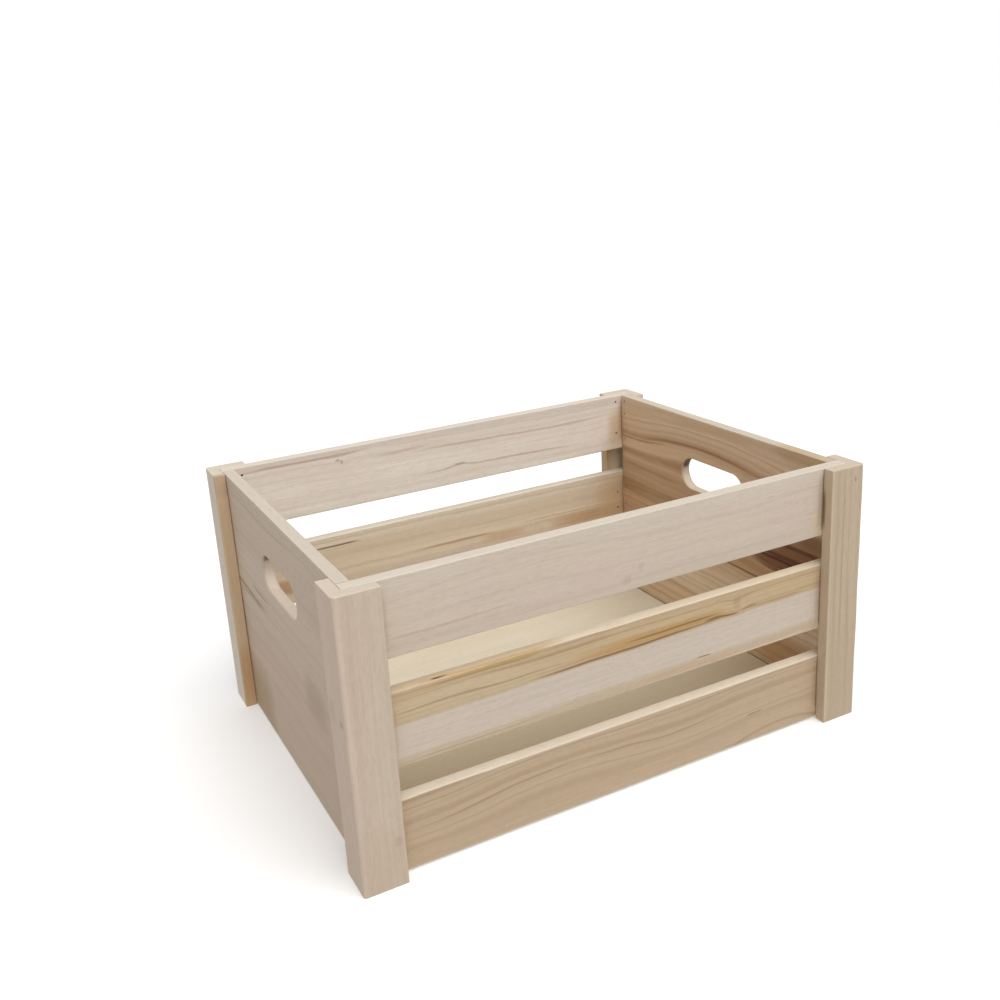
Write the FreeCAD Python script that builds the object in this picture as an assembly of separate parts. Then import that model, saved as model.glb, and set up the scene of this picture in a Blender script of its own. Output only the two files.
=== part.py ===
import FreeCAD, Part
import os

# Wooden apple crate: slatted long sides, solid ends with hand holes, and an
# angle moulding on each corner. Millimetres. +X runs along the slats, +Y from
# the front to the back, +Z up. The origin is on the ground under the middle.

# Overall size, over the corner posts
crate_length = 400.0
crate_width = 300.0
crate_height = 200.0

# Corner posts: one-piece angle moulding, full height
post_wall = 9.0
post_side_leg = 30.0  # the leg that laps the slats
post_end_leg = 29.0  # the leg that laps the end boards
post_round = 2.0  # radius of the outer arris

# Side slats: they run behind the posts and lap the edges of the end boards
slat_thickness = 9.5
slat_height = 51.0
slat_foot_gap = 2.0  # lowest slat to the ground
slat_names = ("bottom", "middle", "top")

# Ends: two boards, glued edge to edge
end_thickness = 9.0
end_foot_gap = 1.0  # lower board to the ground
lower_board_height = 109.0

# Hand hole: a slot with round ends, through the upper board
hand_hole_length = 80.0
hand_hole_height = 27.0
hand_hole_drop = 50.0  # centre of the hole below the rim
hand_hole_round = 1.2  # its sanded edge, inside and out

# Floor: plywood, held in a groove all round
floor_thickness = 3.0
floor_lift = 10.0  # underside of the floor above the ground
groove_depth = 4.0
groove_play = 0.2  # room above the plywood in its groove
floor_play = 0.5  # room between the plywood and the groove's bottom

# Sanded edges
edge_round = 0.6  # along the grain
end_chamfer = 0.3  # across the grain, on the ends of the posts

# Brads
brad_diameter = 1.2
brad_head_diameter = 2.0
brad_head_height = 0.6
brad_point_height = 1.6
brad_set = 0.8  # a visible brad's head below the wood
hidden_brad_set = 0.2  # a head that a post covers
brad_cover = 2.2  # wood left beyond the point
brad_bite = 16.0  # grip of a hidden brad in the edge of an end board

# Heights of the brads, as shares of a slat's height from its lower edge. The
# brads are driven by eye, so they are uneven, and each corner differs a little.
slat_post_brads = {"bottom": (0.38, 0.80), "middle": (0.30, 0.60), "top": (0.30, 0.89)}
end_post_brads = {"bottom": (0.35, 0.70), "middle": (0.38, 0.73), "top": (0.20, 0.67, 0.90)}
slat_end_brads = (0.45, 0.78)
corner_drift = {
    "front_left": 0.6,
    "front_right": -0.5,
    "back_left": -0.8,
    "back_right": 0.0,
}

# Faces of the walls, measured from the middle of the crate
side_outer = crate_width / 2 - post_wall
side_inner = side_outer - slat_thickness
end_outer = crate_length / 2 - post_wall
end_inner = end_outer - end_thickness

# The slats share out the height that the gaps leave
slat_gap = (crate_height - slat_foot_gap - len(slat_names) * slat_height) / (len(slat_names) - 1)
slat_bottoms = {}
for row, row_name in enumerate(slat_names):
    slat_bottoms[row_name] = slat_foot_gap + row * (slat_height + slat_gap)

board_joint = end_foot_gap + lower_board_height

vector = FreeCAD.Vector
up = vector(0, 0, 1)
origin = vector(0, 0, 0)


def block(low, high):
    """A box between two corners."""
    return Part.makeBox(high[0] - low[0], high[1] - low[1], high[2] - low[2], vector(*low))


def is_level_with(edge, axis, place):
    """True when the whole edge lies at one place along an axis."""
    box = edge.BoundBox
    low = getattr(box, axis + "Min")
    high = getattr(box, axis + "Max")
    return abs(low - place) < 1e-6 and abs(high - place) < 1e-6


def edges_along(shape, direction):
    """The straight edges that run along a direction."""
    straight = [edge for edge in shape.Edges if isinstance(edge.Curve, Part.Line)]
    return [edge for edge in straight if abs(edge.Curve.Direction.dot(direction)) > 0.999]


def edges_at(shape, direction, axis, place):
    """The straight edges along a direction that lie at one place on an axis."""
    return [edge for edge in edges_along(shape, direction) if is_level_with(edge, axis, place)]


def at_corner(shape, side, end):
    """Turn a shape made for the back right corner to another corner."""
    if side < 0:
        shape = shape.mirror(origin, vector(0, 1, 0))
    if end < 0:
        shape = shape.mirror(origin, vector(1, 0, 0))
    return shape


def corner_post():
    """The angle moulding of the back right corner."""
    outer = vector(crate_length / 2, crate_width / 2, 0)
    outline = [
        outer,
        outer - vector(post_side_leg, 0, 0),
        outer - vector(post_side_leg, post_wall, 0),
        outer - vector(post_wall, post_wall, 0),
        outer - vector(post_wall, post_end_leg, 0),
        outer - vector(0, post_end_leg, 0),
        outer,
    ]
    post = Part.Face(Part.makePolygon(outline)).extrude(up * crate_height)
    arris = [edge for edge in edges_at(post, up, "X", outer.x) if is_level_with(edge, "Y", outer.y)]
    post = post.makeFillet(min(post_round, post_wall / 2), arris)
    tips = edges_at(post, up, "X", outer.x - post_side_leg)
    tips += edges_at(post, up, "Y", outer.y - post_end_leg)
    post = post.makeFillet(edge_round, tips)
    cuts = [
        edge
        for edge in post.Edges
        if is_level_with(edge, "Z", 0) or is_level_with(edge, "Z", crate_height)
    ]
    return post.makeChamfer(end_chamfer, cuts)


def floor_groove(low, high):
    """The cutter for a straight length of the floor's groove."""
    return block((*low, floor_lift), (*high, floor_lift + floor_thickness + groove_play))


def slat(name):
    """One slat of the back side."""
    bottom = slat_bottoms[name]
    low = (-end_outer, side_inner, bottom)
    high = (end_outer, side_outer, bottom + slat_height)
    board = block(low, high)
    board = board.makeFillet(edge_round, edges_along(board, vector(1, 0, 0)))
    if name == "bottom":
        board = board.cut(
            floor_groove((-end_outer, side_inner - groove_depth), (end_outer, side_inner + groove_depth))
        )
    return board


def hand_hole():
    """The cutter for the hand hole of the right end, a slot along Y."""
    radius = hand_hole_height / 2
    reach = hand_hole_length / 2 - radius
    middle = crate_height - hand_hole_drop
    cutter = block(
        (end_inner, -reach, middle - radius),
        (end_outer, reach, middle + radius),
    )
    for centre in (-reach, reach):
        end = Part.makeCylinder(radius, end_thickness, vector(end_inner, centre, middle), vector(1, 0, 0))
        cutter = cutter.fuse(end)
    return cutter.removeSplitter()


def upper_end_board():
    """The upper board of the right end, with its rim and hand hole sanded."""
    board = block(
        (end_inner, -side_inner, board_joint),
        (end_outer, side_inner, crate_height),
    )
    rim = edges_at(board, vector(0, 1, 0), "Z", crate_height)
    board = board.makeFillet(edge_round, rim).cut(hand_hole())
    middle = crate_height - hand_hole_drop
    mouth = [
        edge
        for edge in board.Edges
        if (is_level_with(edge, "X", end_inner) or is_level_with(edge, "X", end_outer))
        and abs(edge.CenterOfMass.y) < hand_hole_length / 2
        and abs(edge.CenterOfMass.z - middle) < hand_hole_height / 2 + edge_round
    ]
    return board.makeFillet(min(hand_hole_round, end_thickness / 3), mouth)


def lower_end_board():
    """The lower board of the right end, with its groove for the floor."""
    board = block(
        (end_inner, -side_inner, end_foot_gap),
        (end_outer, side_inner, board_joint),
    )
    foot = edges_at(board, vector(0, 1, 0), "Z", end_foot_gap)
    board = board.makeFillet(edge_round, foot)
    return board.cut(
        floor_groove((end_inner - groove_depth, -side_inner), (end_inner + groove_depth, side_inner))
    )


def floor_panel():
    """The plywood floor, which reaches into the grooves all round."""
    half_length = end_inner + groove_depth - floor_play
    half_width = side_inner + groove_depth - floor_play
    return block(
        (-half_length, -half_width, floor_lift),
        (half_length, half_width, floor_lift + floor_thickness),
    )


def brad(head, direction, length):
    """A brad from the middle of its head's top, and the hole that it fills."""
    radius = brad_diameter / 2
    head_radius = brad_head_diameter / 2
    shank_height = length - brad_head_height - brad_point_height
    top = Part.makeCylinder(head_radius, brad_head_height, head, direction)
    shank_start = head + direction * brad_head_height
    shank = Part.makeCylinder(radius, shank_height, shank_start, direction)
    point_start = shank_start + direction * shank_height
    point = Part.makeCone(radius, radius / 8, brad_point_height, point_start, direction)
    return top.fuse([shank, point]).removeSplitter()


def set_hole(head, direction, depth):
    """The hole that the punch leaves over a brad's head."""
    return Part.makeCylinder(brad_head_diameter / 2, depth, head - direction * depth, direction)


def brad_row(places, direction, length, depth):
    """Brads whose heads start below the wood at each place, and their holes."""
    brads = []
    holes = []
    for place in places:
        head = place + direction * depth
        nail = brad(head, direction, length)
        brads.append(nail)
        holes.append(nail.fuse(set_hole(head, direction, depth)).removeSplitter())
    return brads, holes


def heights(shares, name, drift):
    """Heights of the brads that a slat's row of shares gives."""
    return [slat_bottoms[name] + share * slat_height + drift for share in shares]


def corner_brads(drift):
    """The three groups of brads of the back right corner: name, brads, holes."""
    side_strip = (end_inner + crate_length / 2 - post_side_leg) / 2
    end_strip = (side_inner + crate_width / 2 - post_end_leg) / 2
    edge_line = end_outer - end_thickness / 2
    slat_length = slat_thickness + post_wall - brad_set - brad_cover
    end_length = end_thickness + post_wall - brad_set - brad_cover
    outward_y = vector(0, 1, 0)
    outward_x = vector(1, 0, 0)
    through_slats = []
    through_ends = []
    into_edges = []
    for name in slat_names:
        for z in heights(slat_post_brads[name], name, drift):
            through_slats.append(vector(side_strip, side_inner, z))
        for z in heights(end_post_brads[name], name, drift):
            through_ends.append(vector(end_inner, end_strip, z))
        for z in heights(slat_end_brads, name, drift):
            into_edges.append(vector(edge_line, side_outer, z))
    return {
        "brads_slats_to_post": brad_row(through_slats, outward_y, slat_length, brad_set),
        "brads_end_to_post": brad_row(through_ends, outward_x, end_length, brad_set),
        "brads_slats_to_end": brad_row(
            into_edges, -outward_y, slat_thickness + brad_bite - hidden_brad_set, hidden_brad_set
        ),
    }


def drilled(shape, holes):
    """A wooden piece with the brad holes that reach it."""
    near = [hole for hole in holes if hole.BoundBox.intersect(shape.BoundBox)]
    return shape.cut(near) if near else shape


def build():
    """Every piece of the crate, by name."""
    sides = {"front": -1, "back": 1}
    ends = {"left": -1, "right": 1}
    wood = {}
    brads = {}
    holes = []

    for side_name, side in sides.items():
        for end_name, end in ends.items():
            corner = side_name + "_" + end_name
            wood["corner_post_" + corner] = at_corner(corner_post(), side, end)
            for group, (nails, cutters) in corner_brads(corner_drift[corner]).items():
                placed = [at_corner(nail, side, end) for nail in nails]
                brads[group + "_" + corner] = Part.makeCompound(placed)
                holes += [at_corner(cutter, side, end) for cutter in cutters]

    for side_name, side in sides.items():
        for name in slat_names:
            wood["slat_" + side_name + "_" + name] = at_corner(slat(name), side, 1)

    for end_name, end in ends.items():
        wood["end_board_" + end_name + "_upper"] = at_corner(upper_end_board(), 1, end)
        wood["end_board_" + end_name + "_lower"] = at_corner(lower_end_board(), 1, end)

    pieces = {name: drilled(shape, holes) for name, shape in wood.items()}
    pieces["floor_panel"] = floor_panel()
    pieces.update(brads)
    return pieces


os.makedirs("parts", exist_ok=True)
for node, shape in build().items():
    if not shape.isValid():
        raise RuntimeError(node + " is not a valid shape")
    shape.exportStep("parts/" + node + ".step")
    print(node, len(shape.Solids), round(shape.Volume))
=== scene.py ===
from dataclasses import dataclass
from functools import partial
from math import cos, pi, radians, sin

import bmesh
import bpy
from mathutils import Matrix, Vector, noise


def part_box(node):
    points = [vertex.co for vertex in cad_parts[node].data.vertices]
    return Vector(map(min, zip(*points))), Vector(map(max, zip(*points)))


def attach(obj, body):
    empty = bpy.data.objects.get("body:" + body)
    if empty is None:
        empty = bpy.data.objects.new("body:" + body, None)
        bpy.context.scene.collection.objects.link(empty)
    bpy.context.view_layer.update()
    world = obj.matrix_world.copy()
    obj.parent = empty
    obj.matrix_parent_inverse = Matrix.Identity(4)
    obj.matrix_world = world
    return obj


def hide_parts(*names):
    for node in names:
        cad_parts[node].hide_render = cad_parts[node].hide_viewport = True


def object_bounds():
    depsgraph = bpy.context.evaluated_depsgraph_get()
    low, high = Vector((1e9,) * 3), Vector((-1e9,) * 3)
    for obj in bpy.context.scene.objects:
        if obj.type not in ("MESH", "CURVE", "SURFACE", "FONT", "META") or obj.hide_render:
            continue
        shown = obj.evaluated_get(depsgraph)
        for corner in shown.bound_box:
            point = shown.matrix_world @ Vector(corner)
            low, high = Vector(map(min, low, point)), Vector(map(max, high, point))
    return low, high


bl_info = {
    "name": "Wooden Apple Crate",
    "version": (1, 0, 0),
    "blender": (4, 5, 0),
    "location": "View3D > Sidebar > Crate",
    "description": "Builds the boards, corner posts, floor and finish of a slatted wooden apple crate",
    "category": "Add Mesh",
}

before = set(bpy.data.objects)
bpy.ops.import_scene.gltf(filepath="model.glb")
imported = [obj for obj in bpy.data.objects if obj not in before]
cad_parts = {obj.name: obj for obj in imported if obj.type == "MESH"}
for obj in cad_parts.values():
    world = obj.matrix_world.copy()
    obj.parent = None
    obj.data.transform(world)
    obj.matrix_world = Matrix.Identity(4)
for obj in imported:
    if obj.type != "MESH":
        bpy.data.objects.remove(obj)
cad_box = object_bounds()

BODY = "root"
MM = 0.001
X, Y, Z = 0, 1, 2

# The axes of a board's wood: along the grain, across the board, through it
GRAIN_OF_SLAT = (X, Z, Y)
GRAIN_OF_END = (Y, Z, X)
GRAIN_OF_POST = (Z, X, Y)
GRAIN_OF_FLOOR = (X, Y, Z)

CORNERS = ("front_left", "front_right", "back_left", "back_right")
ROWS = ("bottom", "middle", "top")


# ---------------------------------------------------------------- colours

def linear(code, alpha=True):
    """A sRGB hex colour as linear light, the way the shaders want it."""
    parts = [int(code[start : start + 2], 16) / 255 for start in (1, 3, 5)]
    light = [part / 12.92 if part <= 0.04045 else ((part + 0.055) / 1.055) ** 2.4 for part in parts]
    return (*light, 1.0) if alpha else tuple(light)


@dataclass
class StainOrShade:
    """A soft-edged spot or streak in the wood, or a patch of painted shade: its middle, half sizes (mm),
    colour and strength.
    """

    middle: tuple  # along the grain, across the board, through it
    half: tuple  # a half size of 0 through the board means all the way through
    colour: str
    strength: float = 1.0
    edge: float = 0.8  # the share of the half size that fades


@dataclass
class Knot:
    """A place that the grain swerves round: its middle, half sizes and sideways push (mm)."""

    middle: tuple  # along the grain, across the board
    half: tuple
    push: float


@dataclass
class Look:
    """How one board was cut from the log, the colours that the cut shows, and the shade painted on it."""

    tones: tuple  # (height or place across the board in mm, colour)
    seed: float
    pith: tuple = (60.0, 30.0)  # the log's heart: place across and through (mm)
    lean: float = 0.0  # slope of the grain across the board
    rise: float = 0.0  # slope of the grain through the board, which gives arches
    spacing: float = 6.0  # mm from ring to ring
    late: float = 0.4  # the share of each ring that is dark late wood
    contrast: float = 0.3
    ring: str = "#AE8D68"
    wander: float = 2.0  # mm that the grain strays sideways
    cast: str = "#DCC4B6"
    cast_share: float = 0.35
    streak: float = 0.05
    edge: str = "#D6CBBB"  # the narrow edges
    knots: tuple = ()
    stains_and_shade: tuple = ()


# Places are millimetres in the crate's frame
LOOKS = {
    "slat_front_top": Look(
        tones=(
            (149, "#CEBEAB"), (158, "#D1C1B0"), (170, "#D3C3B1"), (188, "#D4C5B3"),
            (200, "#D6CABA"),
        ),
        seed=1.3, pith=(95, 40), lean=0.006, spacing=4.2, late=0.3, contrast=0.16, ring="#B59D85",
        wander=2.5, cast="#D3BFB4",
        knots=(Knot((-70, 186), (110, 30), -7.0),),
        stains_and_shade=(
            StainOrShade((-125, 161, 0), (50, 1.3, 0), "#B79E84", 0.4),
            StainOrShade((2, 157, 0), (4, 4, 0), "#B9A495", 0.35),
            StainOrShade((13, 163, 0), (3, 5, 0), "#C2AE9C", 0.4),
            StainOrShade((166, 160, -141), (9, 14, 4), "#D8C3A2", 0.6),
        ),
    ),
    "slat_front_middle": Look(
        tones=(
            (75.5, "#CFBB9F"), (79, "#C6B298"), (82.5, "#C8B69F"), (85, "#D1C2B0"), (96, "#D2C3B2"),
            (105.2, "#D1C2B2"), (106.8, "#C5AE8E"), (111, "#C7AE8A"), (117, "#C9B08C"),
            (121, "#C8AF8A"), (124.5, "#C2AA88"), (126.5, "#BDA482"),
        ),
        edge="#E4D5BD", seed=4.1, pith=(60, -60), lean=0.011, spacing=2.1, contrast=0.55,
        ring="#A78868", wander=1.3, cast="#CFBA9C", cast_share=0.25, streak=0.06,
        knots=(Knot((91, 114), (18, 15), 2.4), Knot((-120, 118), (60, 10), -2.0)),
        stains_and_shade=(
            # the pale sapwood between the two brown bands
            StainOrShade((0, 95.0, 0), (900, 11.2, 0), "#D2C3B3", 0.9, 0.25),
            StainOrShade((-130, 113, 0), (95, 9, 0), "#D0BC9E", 0.6, 1),
            StainOrShade((25, 112, 0), (75, 5.2, 0), "#BD965F", 0.8, 0.95),
            StainOrShade((-8, 107.6, 0), (72, 1.0, 0), "#7E5C38", 0.75),
            StainOrShade((48, 108.6, 0), (42, 0.8, 0), "#8D6B42", 0.6),
            StainOrShade((40, 112.6, 0), (45, 0.9, 0), "#8A6438", 0.75),
            StainOrShade((80, 110.2, 0), (17, 1.2, 0), "#7C5A38", 0.8),
            StainOrShade((104, 110.8, 0), (8, 1.0, 0), "#8B6A48", 0.6),
            StainOrShade((128, 109.6, 0), (28, 1.1, 0), "#A8845A", 0.5),
            StainOrShade((-110, 111.8, 0), (75, 0.7, 0), "#A08462", 0.6),
            StainOrShade((-60, 121.0, 0), (60, 0.9, 0), "#A98B64", 0.6),
            StainOrShade((-105, 124.6, 0), (42, 1.8, 0), "#9C7E58", 0.7),
            StainOrShade((93, 119, 0), (4, 6, 0), "#AE9068", 0.35),
            StainOrShade((100, 121, 0), (12, 1.0, 0), "#AA8C68", 0.5),
            StainOrShade((64, 84.3, 0), (7, 0.6, 0), "#6E5B48", 0.8),
            StainOrShade((50, 79.0, 0), (50, 3.0, 0), "#CBA88C", 0.45),
            StainOrShade((-110, 79.0, 0), (60, 0.7, 0), "#AC9678", 0.5),
            StainOrShade((120, 77.5, 0), (50, 1.0, 0), "#DCC5A8", 0.6),
            # the waney corner of the upper edge
            StainOrShade((-115, 127, -136.5), (75, 3, 6.5), "#C9B190", 0.75, 0.5),
            StainOrShade((-95, 126.5, -140.2), (42, 3, 2.6), "#C0A06A", 0.7, 0.9),
            StainOrShade((-135, 126.5, -138.3), (16, 3, 3.0), "#CDAA82", 0.7, 0.9),
            StainOrShade((-135, 126.5, -138.3), (6.5, 3.5, 1.0), "#6A4830", 0.95, 0.9),
        ),
    ),
    "slat_front_bottom": Look(
        tones=((2, "#C4AD90"), (12, "#C2AA8D"), (26, "#C4AD91"), (38, "#C2AB8F"), (50, "#C2AB8F")),
        edge="#E3D6C3", seed=7.7, pith=(-24, 40), lean=0.03, rise=0.004, spacing=1.9, late=0.36,
        contrast=0.52, ring="#A1856A", wander=1.3, cast="#C5AC90",
        knots=(
            Knot((-62, 36), (95, 40), -4.5),
            Knot((135, 4), (62, 26), -9.0),
            Knot((50, 30), (60, 30), 2.5),
        ),
        stains_and_shade=(
            StainOrShade((-95, 31.0, 0), (62, 1.0, 0), "#9F8164", 0.55),
            StainOrShade((20, 33.5, 0), (70, 0.9, 0), "#9F8164", 0.5),
            StainOrShade((110, 24.0, 0), (9, 1.2, 0), "#906C4C", 0.5),
        ),
    ),
    "slat_back_top": Look(
        tones=(
            (149, "#E0D8CA"), (154, "#F0EAE1"), (163, "#E9E1D6"), (174, "#F0E9E0"),
            (180, "#ECE4DA"), (186, "#E7DED3"), (192, "#E9E1D6"), (197, "#DED4CA"),
        ),
        edge="#D8CDBE", seed=10.9, pith=(120, -60), lean=-0.006, spacing=2.8, late=0.35,
        contrast=0.22, ring="#C2AA92", wander=2.6, cast="#E4D2C4",
        knots=(Knot((-95, 189), (24, 8), 1.6), Knot((13, 164), (20, 8), -1.8)),
        stains_and_shade=(
            StainOrShade((-125, 195.0, 131.5), (62, 1.6, 6), "#BD9C84", 0.7, 1),
            StainOrShade((-97, 191.2, 131.5), (2.6, 1.6, 5), "#B39882", 0.6, 1),
            StainOrShade((-93.6, 189.2, 131.5), (1.7, 2.6, 5), "#B39882", 0.6, 1),
            StainOrShade((-40, 187.5, 131.5), (30, 1.6, 5), "#C9B4A0", 0.5, 1),
            StainOrShade((65, 184.0, 0), (110, 1.3, 0), "#C2AB92", 0.55),
            StainOrShade((13, 164.5, 0), (7, 1.8, 0), "#AE9678", 0.6),
            StainOrShade((50, 163.5, 0), (95, 1.0, 0), "#BFA990", 0.55),
            # Painted shade: browner towards the inner corner with the right end
            StainOrShade((178, 168, 131.5), (14, 22, 6), "#DCC09C", 0.75, 0.95),
        ),
    ),
    "slat_back_middle": Look(
        tones=(
            (75.5, "#D4C7B2"), (86, "#D2C5B1"), (90, "#DBCCB6"), (94, "#D6C6AE"), (99, "#DDCEB7"),
            (105, "#D7C8B1"), (112, "#DBCCB6"), (115, "#D5C7B1"), (120, "#E3D6C3"),
            (124, "#DACEBA"), (126.5, "#D6C9B3"),
        ),
        edge="#DACFBF", seed=13.2, pith=(150, 40), lean=-0.004, spacing=3.6, late=0.35,
        contrast=0.26, ring="#B39B7C", wander=2.2, cast="#D9C6AC",
        stains_and_shade=(
            StainOrShade((-106, 117.4, 0), (24, 0.9, 0), "#7C5C40", 0.85),
            StainOrShade((-150, 91, 131.5), (36, 10, 6), "#B28C66", 0.75, 0.95),
            StainOrShade((5, 96.0, 0), (42, 1.2, 0), "#A98C6C", 0.7),
            StainOrShade((120, 98.5, 0), (60, 0.8, 0), "#B99B74", 0.5),
            StainOrShade((52, 90.5, 131.5), (28, 6.0, 6), "#C8A888", 0.65, 1),
            StainOrShade((148, 90.0, 131.5), (56, 7.5, 6), "#C09A72", 0.75, 0.95),
            StainOrShade((182, 102, 131.5), (36, 26, 6), "#D0B48C", 0.7, 0.95),
        ),
    ),
    "slat_back_bottom": Look(
        tones=((2, "#C6B096"), (20, "#CBB69C"), (36, "#C9B49B"), (50, "#CBB79E")),
        edge="#E0D3BF", seed=16.4, pith=(-50, -30), lean=-0.010, rise=0.004, spacing=2.2, late=0.35,
        contrast=0.45, ring="#A88C6E", cast="#CDB29A",
        knots=(Knot((-60, 30), (60, 18), -5.0),),
    ),
    "end_board_left_upper": Look(
        tones=(
            (110, "#C9B7A1"), (120, "#CDBAA6"), (136, "#CFBCA8"), (146, "#CFBDA9"),
            (156, "#C7B49E"), (166, "#CBB8A2"), (174, "#C9B6A0"), (183, "#CFBCA8"),
            (190, "#CAB7A2"), (198, "#CCBAA5"),
        ),
        edge="#D0C6B7", seed=19.8, pith=(60, -150), contrast=0.2, ring="#AB947D", wander=3.0,
        cast="#C9B3A4",
        stains_and_shade=(
            StainOrShade((88, 111.8, 0), (48, 1.1, 0), "#5E4E3C", 0.75),
            StainOrShade((58, 121.0, 0), (26, 1.1, 0), "#7C6A56", 0.6),
            StainOrShade((30, 187, 0), (90, 1.3, 0), "#A8957F", 0.45),
            StainOrShade((0, 146, -186.5), (46, 13, 3.9), "#E2D0BE", 0.9, 0.3),
            # Painted shadow on the hand hole's upper wall, which faces down, darkest towards the back end
            # of the hole
            StainOrShade((0, 165, -186.5), (46, 7, 3.9), "#8C6E50", 0.85, 0.8),
            StainOrShade((36, 160, -186.5), (14, 7, 3.9), "#5E4E3C", 0.85, 0.8),
        ),
    ),
    "end_board_left_lower": Look(
        tones=(
            (1, "#C3AE97"), (15, "#CBB6A0"), (35, "#C8B29D"), (55, "#CAB49F"), (75, "#C9B49F"),
            (95, "#CBB8A3"), (110, "#CCB9A3"),
        ),
        seed=23.5, pith=(20, -120), spacing=8.0, contrast=0.18, ring="#AB947D", wander=4.0,
        cast="#C4AC9A",
        stains_and_shade=(
            StainOrShade((98, 20, 0), (48, 36, 0), "#AC9272", 0.8, 1),
            StainOrShade((-60, 88, 0), (28, 22, 0), "#B39C89", 0.7, 1),
            StainOrShade((90, 109.4, 0), (46, 1.0, 0), "#6E5C48", 0.5),
        ),
    ),
    "end_board_right_upper": Look(
        tones=(
            (110, "#B08C69"), (117, "#B8946F"), (121, "#B08B68"), (124.5, "#C8A684"),
            (131, "#C9A887"), (135, "#BC9A78"), (138, "#BF9C7A"), (142, "#D4B391"),
            (145.5, "#C8A682"), (148, "#AE8964"), (151.5, "#B08C69"), (154.5, "#DFBF9D"),
            (158, "#DABA98"), (161, "#E2C3A2"), (164, "#D0AF8D"), (166.2, "#BC9773"),
            (168.4, "#C6A482"), (171.5, "#DEC2A2"), (182, "#E2C8AA"), (190, "#D9BFA0"),
            (197, "#DCC3A5"),
        ),
        edge="#CEC3B3", seed=27.1, pith=(30, 150), spacing=6.5, late=0.5, ring="#A27C58",
        cast="#DDBFA0", streak=0.08,
        knots=(Knot((5, 178), (130, 42), -9.0),),
        stains_and_shade=(
            StainOrShade((20, 166.4, 0), (80, 1.5, 0), "#93694A", 0.55),
            StainOrShade((100, 163.0, 0), (42, 0.8, 0), "#8E6647", 0.6),
            StainOrShade((0, 189, 0), (60, 4, 0), "#CDAC88", 0.5),
            StainOrShade((88, 117.0, 0), (50, 1.0, 0), "#A07A54", 0.5),
            StainOrShade((88, 136.5, 0), (50, 1.3, 0), "#A57C58", 0.5),
            # Painted shade: a dark patch on the inner face behind the front middle slat, crossed by darker
            # lines
            StainOrShade((-105, 118.0, 182), (50, 12, 6), "#8A6040", 0.85, 1),
            StainOrShade((-105, 123.5, 182), (38, 2.6, 6), "#623C22", 0.8, 0.95),
            StainOrShade((-98, 113.0, 182), (46, 1.8, 6), "#5E3A22", 0.8, 0.95),
            StainOrShade((-110, 196, 0), (40, 8, 0), "#BFA176", 0.6),
            StainOrShade((0, 138, 186.5), (46, 14, 3.9), "#E4D2BA", 0.85, 0.3),
            # Painted shadow at the back end of the hand hole's upper wall, which faces down
            StainOrShade((38, 157, 186.5), (14, 9, 3.9), "#4E3520", 0.9, 0.6),
            # More painted shade behind the front slats, over the glue joint and higher up
            StainOrShade((-105, 110, 182), (48, 5.5, 6), "#6C462C", 0.9, 0.7),
            StainOrShade((-124, 133, 182), (34, 9, 6), "#7C5636", 0.75, 1),
        ),
    ),
    "end_board_right_lower": Look(
        tones=(
            (1, "#DCC3A5"), (25, "#E4CBAA"), (42, "#E8D2B5"), (55, "#EEDCC2"), (72, "#E6CFB1"),
            (82, "#DABE9C"), (90, "#C09D78"), (97, "#C8A681"), (104, "#CFAD89"), (107, "#BE9A77"),
            (110, "#B08C69"),
        ),
        seed=31.6, pith=(-40, 140), lean=0.02, spacing=7.0, late=0.5, contrast=0.36, ring="#A27E5C",
        wander=2.4, cast="#DDC2A4", streak=0.08,
        stains_and_shade=(
            # Painted shade: the dark patch behind the front middle slat, crossed by darker lines, carried
            # on from the upper board
            StainOrShade((-105, 110, 182), (46, 5, 6), "#6C462C", 0.9, 0.7),
            StainOrShade((-92, 104.5, 182), (52, 7.5, 6), "#85593C", 0.9, 0.85),
            StainOrShade((-95, 108.6, 182), (48, 1.6, 6), "#523018", 0.85, 0.9),
            StainOrShade((-85, 103.6, 182), (40, 1.0, 6), "#7A5036", 0.7, 0.9),
            StainOrShade((-95, 99.0, 182), (40, 1.4, 6), "#744C32", 0.7, 0.9),
            StainOrShade((-50, 85.4, 0), (42, 1.1, 0), "#7E5636", 0.75),
            StainOrShade((-60, 93.0, 0), (40, 4.0, 0), "#B58C64", 0.6),
            StainOrShade((-95, 30, 182), (44, 22, 6), "#C69868", 0.6, 0.9),
        ),
    ),
    "corner_post_front_left": Look(
        tones=(
            (-200, "#D6C1AD"), (-197, "#CFBCAA"), (-190, "#CDBBA8"), (-184, "#CFBDAA"),
            (-178, "#CDBCA9"), (-170, "#CCBAA5"),
        ),
        seed=35.2, pith=(-150, -260), lean=0.01, spacing=4.0, contrast=0.16, ring="#B39C86",
        cast="#CBB5A3",
        stains_and_shade=(
            StainOrShade((117, -200, -143), (3, 4, 4), "#A98E76", 0.5),
            StainOrShade((120, -200, -128), (10, 4, 5), "#C0A893", 0.4),
            StainOrShade((32, -174, -150), (4, 3, 4), "#A98E76", 0.4),
            StainOrShade((20, -185, -150), (30, 18, 6), "#C6B199", 0.5, 0.9),
        ),
    ),
    "corner_post_front_right": Look(
        tones=(
            (170, "#D0BA9F"), (172.6, "#CBB59A"), (174, "#C1AE95"), (180, "#C4B199"),
            (188, "#C5B299"), (200, "#C5B29A"),
        ),
        seed=38.9, pith=(230, -230), lean=-0.006, spacing=2.2, ring="#A38C70", wander=1.6,
        cast="#C7B095",
        stains_and_shade=(
            StainOrShade((120, 182, 0), (90, 0.8, 0), "#A08869", 0.45),
            StainOrShade((60, 190, 0), (70, 0.8, 0), "#A08869", 0.45),
            StainOrShade((30, 186, -150), (60, 16, 8), "#BCA88E", 0.5, 0.9),
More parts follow.
